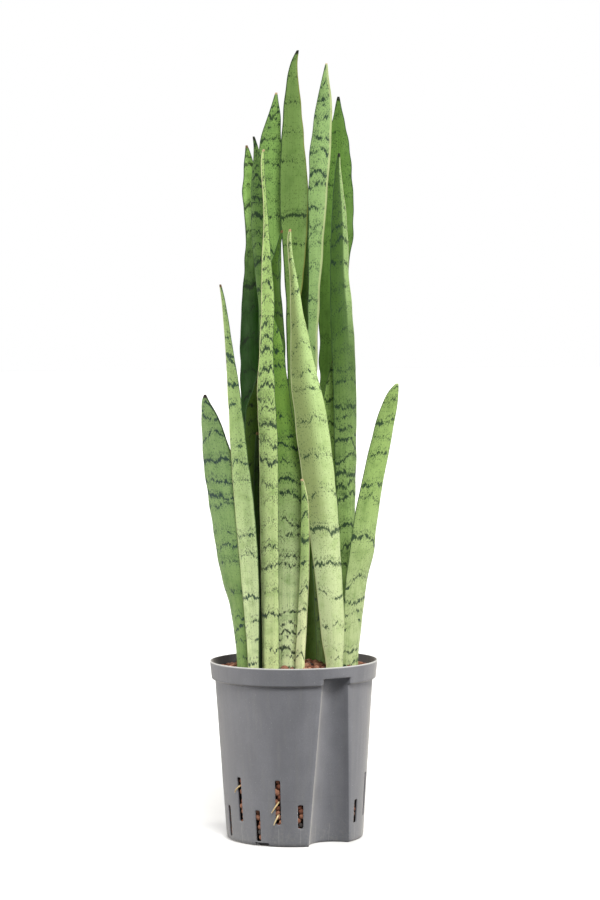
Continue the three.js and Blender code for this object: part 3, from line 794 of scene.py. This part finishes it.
def make_clay_core():
    """The dark mass inside the pot, behind and under the pellets that show; its near black brown is painted
    shade for the depths between the pellets.
    """
    inset = WALL + 5
    rows = [(body_radius(170) - inset, clay_level(d) - 7, 177, inset, d / (RIM_RADIUS - 9))
            for d in (0, 30, 60)]
    rows += [(body_radius(z) - inset, z, min(z, 177), inset, 1) for z in (173, 120, 70, 30, 10)]
    rows += [(body_radius(10) - inset, FLOOR_TOP, FLOOR_TOP, inset, s) for s in (0.96, 0.5, 0)]
    core = wrap_round("core", rows)
    # Painted shade: near black browns stand for the shade deep between the pellets.
    material, shader = start_material("painted_shade_clay", Roughness=1.0)
    x, y, z = split(material, "TexCoord", "Object")
    crumbs = noise(material, (x / 3, y / 3, z / 3), 4, 0.7)
    colour = mix(material, crumbs.step(0.35, 0.7), tone("140c08"), tone("3d2418"))
    feed(material, shader.inputs["Base Color"], colour)
    raise_surface(material, shader, crumbs, 1.5)
    return finish_piece(core, "clay_core", "clay", material, "clay_pellets")


def make_pebbles(chance):
    """Ten different pellets, each a rounded lump of radius 1, scaled when it is placed."""
    pebbles = []
    for _ in range(10):
        deselect_all()
        bpy.ops.mesh.primitive_ico_sphere_add(subdivisions=2, radius=1)
        pebble = bpy.context.object
        corners = corners_of(pebble)
        for _ in range(5):
            way = Vector([chance.gauss(0, 1) for _ in range(3)]).normalized()
            push = np.clip(corners @ np.array(way), -1, 1)
            corners = corners * (1 + chance.uniform(-0.1, 0.12) * np.maximum(push, 0) ** 2)[:, None]
        corners *= np.array([1, chance.uniform(0.8, 1), chance.uniform(0.7, 0.92)])
        move_corners(pebble, corners)
        bpy.ops.object.shade_smooth()
        pebbles.append(pebble)
    return pebbles


def leaf_sections():
    """Each leaf's middle line at the clay's surface, with half its thickness."""
    sections = []
    share = np.linspace(-1, 1, 9)
    for node in LEAVES:
        stations = leaf_stations(node)
        x, y, turn, half, cup, thickness = [v[0] for v in leaf_form(stations, np.array([POT_HEIGHT - 5.0]))]
        across = np.array([math.cos(turn), math.sin(turn)])
        inward = np.array([-across[1], across[0]])
        line = (np.array([x, y]) + np.outer(share * half, across) + np.outer(cup * share ** 2, inward))
        sections.append((line, thickness / 2))
    return sections


def clear_of_leaves(x, y, radius, sections):
    for line, half in sections:
        if np.hypot(line[:, 0] - x, line[:, 1] - y).min() < radius * 0.9 + half:
            return False
    return True


def in_channel(x, y, z, radius):
    """True if a pellet there would stand in the channel or its ceiling."""
    if z - radius > CHANNEL_CEILING + WALL:
        return False
    distance, channel_radius = channel_at(z)
    turn = math.radians(CHANNEL_ANGLE)
    away = math.hypot(x - distance * math.sin(turn), y + distance * math.cos(turn))
    return away < channel_radius + WALL + radius


def clay_places(chance):
    """Where the pellets lie, as (x, y, z, radius) in millimetres.

    There are two layers on top, lifted over the channel's ceiling, and a column behind each slot.
    """
    sections = leaf_sections()
    places = []
    inside = RIM_RADIUS - WALL - 1.6
    for sink, tries, closeness, lift in PELLET_LAYERS:
        layer = []
        for _ in range(tries):
            radius = chance.choice(PELLET_RADII)
            distance = (inside - radius) * math.sqrt(chance.random())
            angle = chance.uniform(0, 2 * math.pi)
            x, y = distance * math.cos(angle), distance * math.sin(angle)
            if any(math.hypot(x - a, y - b) < (radius + r) * closeness for a, b, _, r in layer):
                continue
            z = clay_level(distance) - sink + chance.uniform(-1, 1)
            if in_channel(x, y, z, radius):
                radius = min(radius, LARGEST_OVER_CHANNEL)
                z = CHANNEL_CEILING + WALL + radius * lift
            if not clear_of_leaves(x, y, radius, sections):
                continue
            layer.append((x, y, z, radius))
        places += layer
    for side in (-1, 1):
        for index in range(SLOT_COUNT):
            low, high = slot_ends(index)
            height = low - 2.0
            while height < high + 4:
                radius = chance.uniform(3.0, 4.6)
                angle = math.radians(side * (FIRST_SLOT + SLOT_PITCH * index) + chance.uniform(-2.4, 2.4))
                distance = body_radius(height) - WALL - radius + 0.6
                x, y, _ = around(angle, distance, 0)
                places.append((x / MM, y / MM, max(height, FLOOR_TOP + radius * 0.8), radius))
                height += radius * chance.uniform(1.1, 1.7)
    return places


def make_clay():
    chance = random.Random(7)
    pebbles = make_pebbles(chance)
    copies = []
    for x, y, z, radius in clay_places(chance):
        mesh = chance.choice(pebbles).data.copy()
        turn = Quaternion([chance.gauss(0, 1) for _ in range(4)]).normalized().to_matrix().to_4x4()
        mesh.transform(Matrix.Translation(Vector((x, y, z)) * MM) @ turn @ Matrix.Scale(radius * MM, 4))
        layer = mesh.attributes.new("lump", "FLOAT", "POINT")
        layer.data.foreach_set("value", np.full(len(mesh.vertices), chance.random(), dtype=np.float32))
        copy = bpy.data.objects.new("pellet", mesh)
        bpy.context.scene.collection.objects.link(copy)
        copies.append(copy)
    for pebble in pebbles:
        bpy.data.objects.remove(pebble)
    deselect_all()
    for copy in copies:
        copy.select_set(True)
    bpy.context.view_layer.objects.active = copies[0]
    bpy.ops.object.join()
    return finish_piece(copies[0], "clay_lumps", "clay", clay_material(), "clay_pellets")


def clay_material():
    """Fired clay, from brick red to brown, each pellet its own, and one in twenty dark grey."""
    material, shader = start_material("fired_clay", Roughness=0.93)
    x, y, z = split(material, "TexCoord", "Object")
    lump = attribute(material, "lump")
    pits = noise(material, (x / 0.7, y / 0.7, z / 0.7), 3, 0.7)
    blotch = noise(material, (x / 2.6, y / 2.6, z / 2.6), 3)
    colour = mix(material, lump.step(0.1, 0.9), tone("7c4833"), tone("bb876c"))
    colour = mix(material, (lump * 7.3 + blotch).work("FRACT", lump * 7.3 + blotch) * 0.35, colour,
                 tone("8f5a46"))
    colour = mix(material, lump.step(0.94, 0.95), colour, tone("4a4543"))
    colour = mix(material, pits.step(0.5, 0.32, 0, 0.8), colour, tone("3a2015"))
    feed(material, shader.inputs["Base Color"], colour)
    raise_surface(material, shader, pits + blotch * 0.6, 0.5)
    return material


# ---- Roots and rhizomes ----
def root_material():
    material, shader = start_material("root_skin", Roughness=0.7)
    x, y, z = split(material, "TexCoord", "Object")
    stains = noise(material, (x / 2, y / 2, z / 2), 3)
    feed(material, shader.inputs["Base Color"],
         mix(material, stains.step(0.35, 0.7), tone("e3d3a6"), tone("b99a66")))
    raise_surface(material, shader, stains, 0.2)
    return material


def make_root(name, points, thick, material, *nodes):
    """A tapering root along a soft curve through its points."""
    deselect_all()
    bpy.ops.curve.primitive_nurbs_path_add()
    root = bpy.context.object
    path = root.data.splines[0]
    path.points.add(max(0, len(points) - len(path.points)))
    for k, point in enumerate(path.points):
        place = points[min(k, len(points) - 1)]
        point.co = (*place, 1)
        point.radius = 1 - 0.55 * k / (len(path.points) - 1)
    path.use_endpoint_u = True
    root.data.bevel_depth = thick * MM
    root.data.bevel_resolution = 2
    root.data.resolution_u = 6
    root.data.use_fill_caps = True
    bpy.ops.object.convert(target="MESH")
    bpy.ops.object.shade_smooth()
    return finish_piece(bpy.context.object, name, "root", material, *nodes)


def make_roots():
    """The three tips that come out of the slots on the channel's left."""
    material = root_material()
    for name, slot, out, down, along in (
            ("root_tip_left", 3, 61, 6, 4), ("root_tip_upper", 1, 46, 9, 6), ("root_tip_lower", 1, 33, 9, 4)):
        angle = -math.radians(FIRST_SLOT + SLOT_PITCH * slot)
        outside = body_radius(out)
        turn = -along / outside
        points = [
            around(angle, outside - WALL - 6, out + 2), around(angle, outside - WALL, out + 1.5),
            around(angle, outside + 1.5, out), around(angle + turn * 0.5, outside + 3.3, out - down * 0.4),
            around(angle + turn, outside + 2.6, out - down)]
        make_root("curled_" + name, points, 1.2, material, name)


def dress_rhizomes():
    """The buried stems keep their CAD shape and get a fibrous skin."""
    material, shader = start_material("rhizome_skin", Roughness=0.85)
    x, y, z = split(material, "TexCoord", "Object")
    rings = noise(material, (x / 5, y / 5, z / 5), 4, 0.6)
    feed(material, shader.inputs["Base Color"],
         mix(material, rings.step(0.3, 0.7), tone("c9a26b"), tone("8d6a3f")))
    raise_surface(material, shader, rings, 0.8)
    for name in ("rhizome_front", "rhizome_middle", "rhizome_right"):
        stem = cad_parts[name]
        stem.data.materials.clear()
        stem.data.materials.append(material)


# ---- Studio ----
SKY_SEEN = 1.0
SKY_LIGHT = 0.16                 # how strongly the sky lights the object
GLOSS_SHARE = 0.1                # how much of the seen sky shows in reflections
WARM = (1, 0.97, 0.92)
# Each lamp: name, degrees round from the front, degrees up, strength, spread and colour.
LAMPS = (("left_box", -86, 20, 2.5, 30, WARM),
         ("right_box", 82, 20, 2.3, 30, WARM),
         ("top_box", 14, 50, 2.7, 22, (1, 1, 0.98)),
         ("back_box", 180, 40, 1.3, 40, (1, 1, 1)))
CAMERA_PLACE = (0, -3.0, 0.525)          # metres
CAMERA_LENS = 112.2
CAMERA_TURN = (2.102, 0.163, -0.46)      # degrees down, right and rolled


def make_studio():
    """A wide pale floor, a soft pale sky and four broad lights."""
    deselect_all()
    bpy.ops.mesh.primitive_plane_add(size=120)
    ground = bpy.context.object
    ground.name = "studio_floor"
    paper, shader = start_material("pale_paper", Roughness=0.9)
    x, y, _ = split(paper, "TexCoord", "Object")
    fibre = noise(paper, (x / 300, y / 300, 0.0), 2)
    feed(paper, shader.inputs["Base Color"], mix(paper, fibre, tone("f6f6f5"), tone("fafafa")))
    ground.data.materials.append(paper)
    ground.visible_diffuse = False

    world = bpy.data.worlds.new("studio_sky")
    bpy.context.scene.world = world
    world.use_nodes = True
    sky = world.node_tree.nodes["Background"]
    sky.inputs["Color"].default_value = (1, 1, 1, 1)
    seen = world.node_tree.nodes.new("ShaderNodeLightPath")
    gloss = world.node_tree.nodes.new("ShaderNodeMath")
    gloss.operation = "MULTIPLY"
    gloss.inputs[1].default_value = GLOSS_SHARE
    either = world.node_tree.nodes.new("ShaderNodeMath")
    either.operation = "MAXIMUM"
    glow = world.node_tree.nodes.new("ShaderNodeMapRange")
    glow.inputs["To Min"].default_value = SKY_LIGHT
    glow.inputs["To Max"].default_value = SKY_SEEN
    world.node_tree.links.new(seen.outputs["Is Glossy Ray"], gloss.inputs[0])
    world.node_tree.links.new(gloss.outputs[0], either.inputs[0])
    world.node_tree.links.new(seen.outputs["Is Camera Ray"], either.inputs[1])
    world.node_tree.links.new(either.outputs[0], glow.inputs["Value"])
    world.node_tree.links.new(glow.outputs["Result"], sky.inputs["Strength"])

    for name, azimuth, elevation, strength, spread, colour in LAMPS:
        deselect_all()
        bpy.ops.object.light_add(type="SUN")
        lamp = bpy.context.object
        lamp.name = name + "_light"
        lamp.data.energy = strength
        lamp.data.angle = math.radians(spread)
        lamp.data.color = colour
        a, e = math.radians(azimuth), math.radians(elevation)
        towards = Vector((math.sin(a) * math.cos(e), -math.cos(a) * math.cos(e), math.sin(e)))
        lamp.rotation_euler = towards.to_track_quat("Z", "Y").to_euler()

    bpy.ops.object.camera_add(location=CAMERA_PLACE)
    camera = bpy.context.object
    camera.data.lens = CAMERA_LENS
    camera.data.sensor_width = 36
    down, right, roll = [math.radians(turn) for turn in CAMERA_TURN]
    ahead = Vector((math.sin(right) * math.cos(down), math.cos(right) * math.cos(down), -math.sin(down)))
    camera.rotation_mode = "QUATERNION"
    camera.rotation_quaternion = ahead.to_track_quat("-Z", "Y") @ Quaternion((0, 0, 1), roll)
    bpy.context.scene.camera = camera
    bpy.context.scene.view_settings.view_transform = "Standard"


make_studio()
make_pot()
make_clay_core()
make_clay()
make_roots()
dress_rhizomes()
for seed, (node, look) in enumerate(LEAVES.items()):
    make_leaf(node, look, seed + 1)
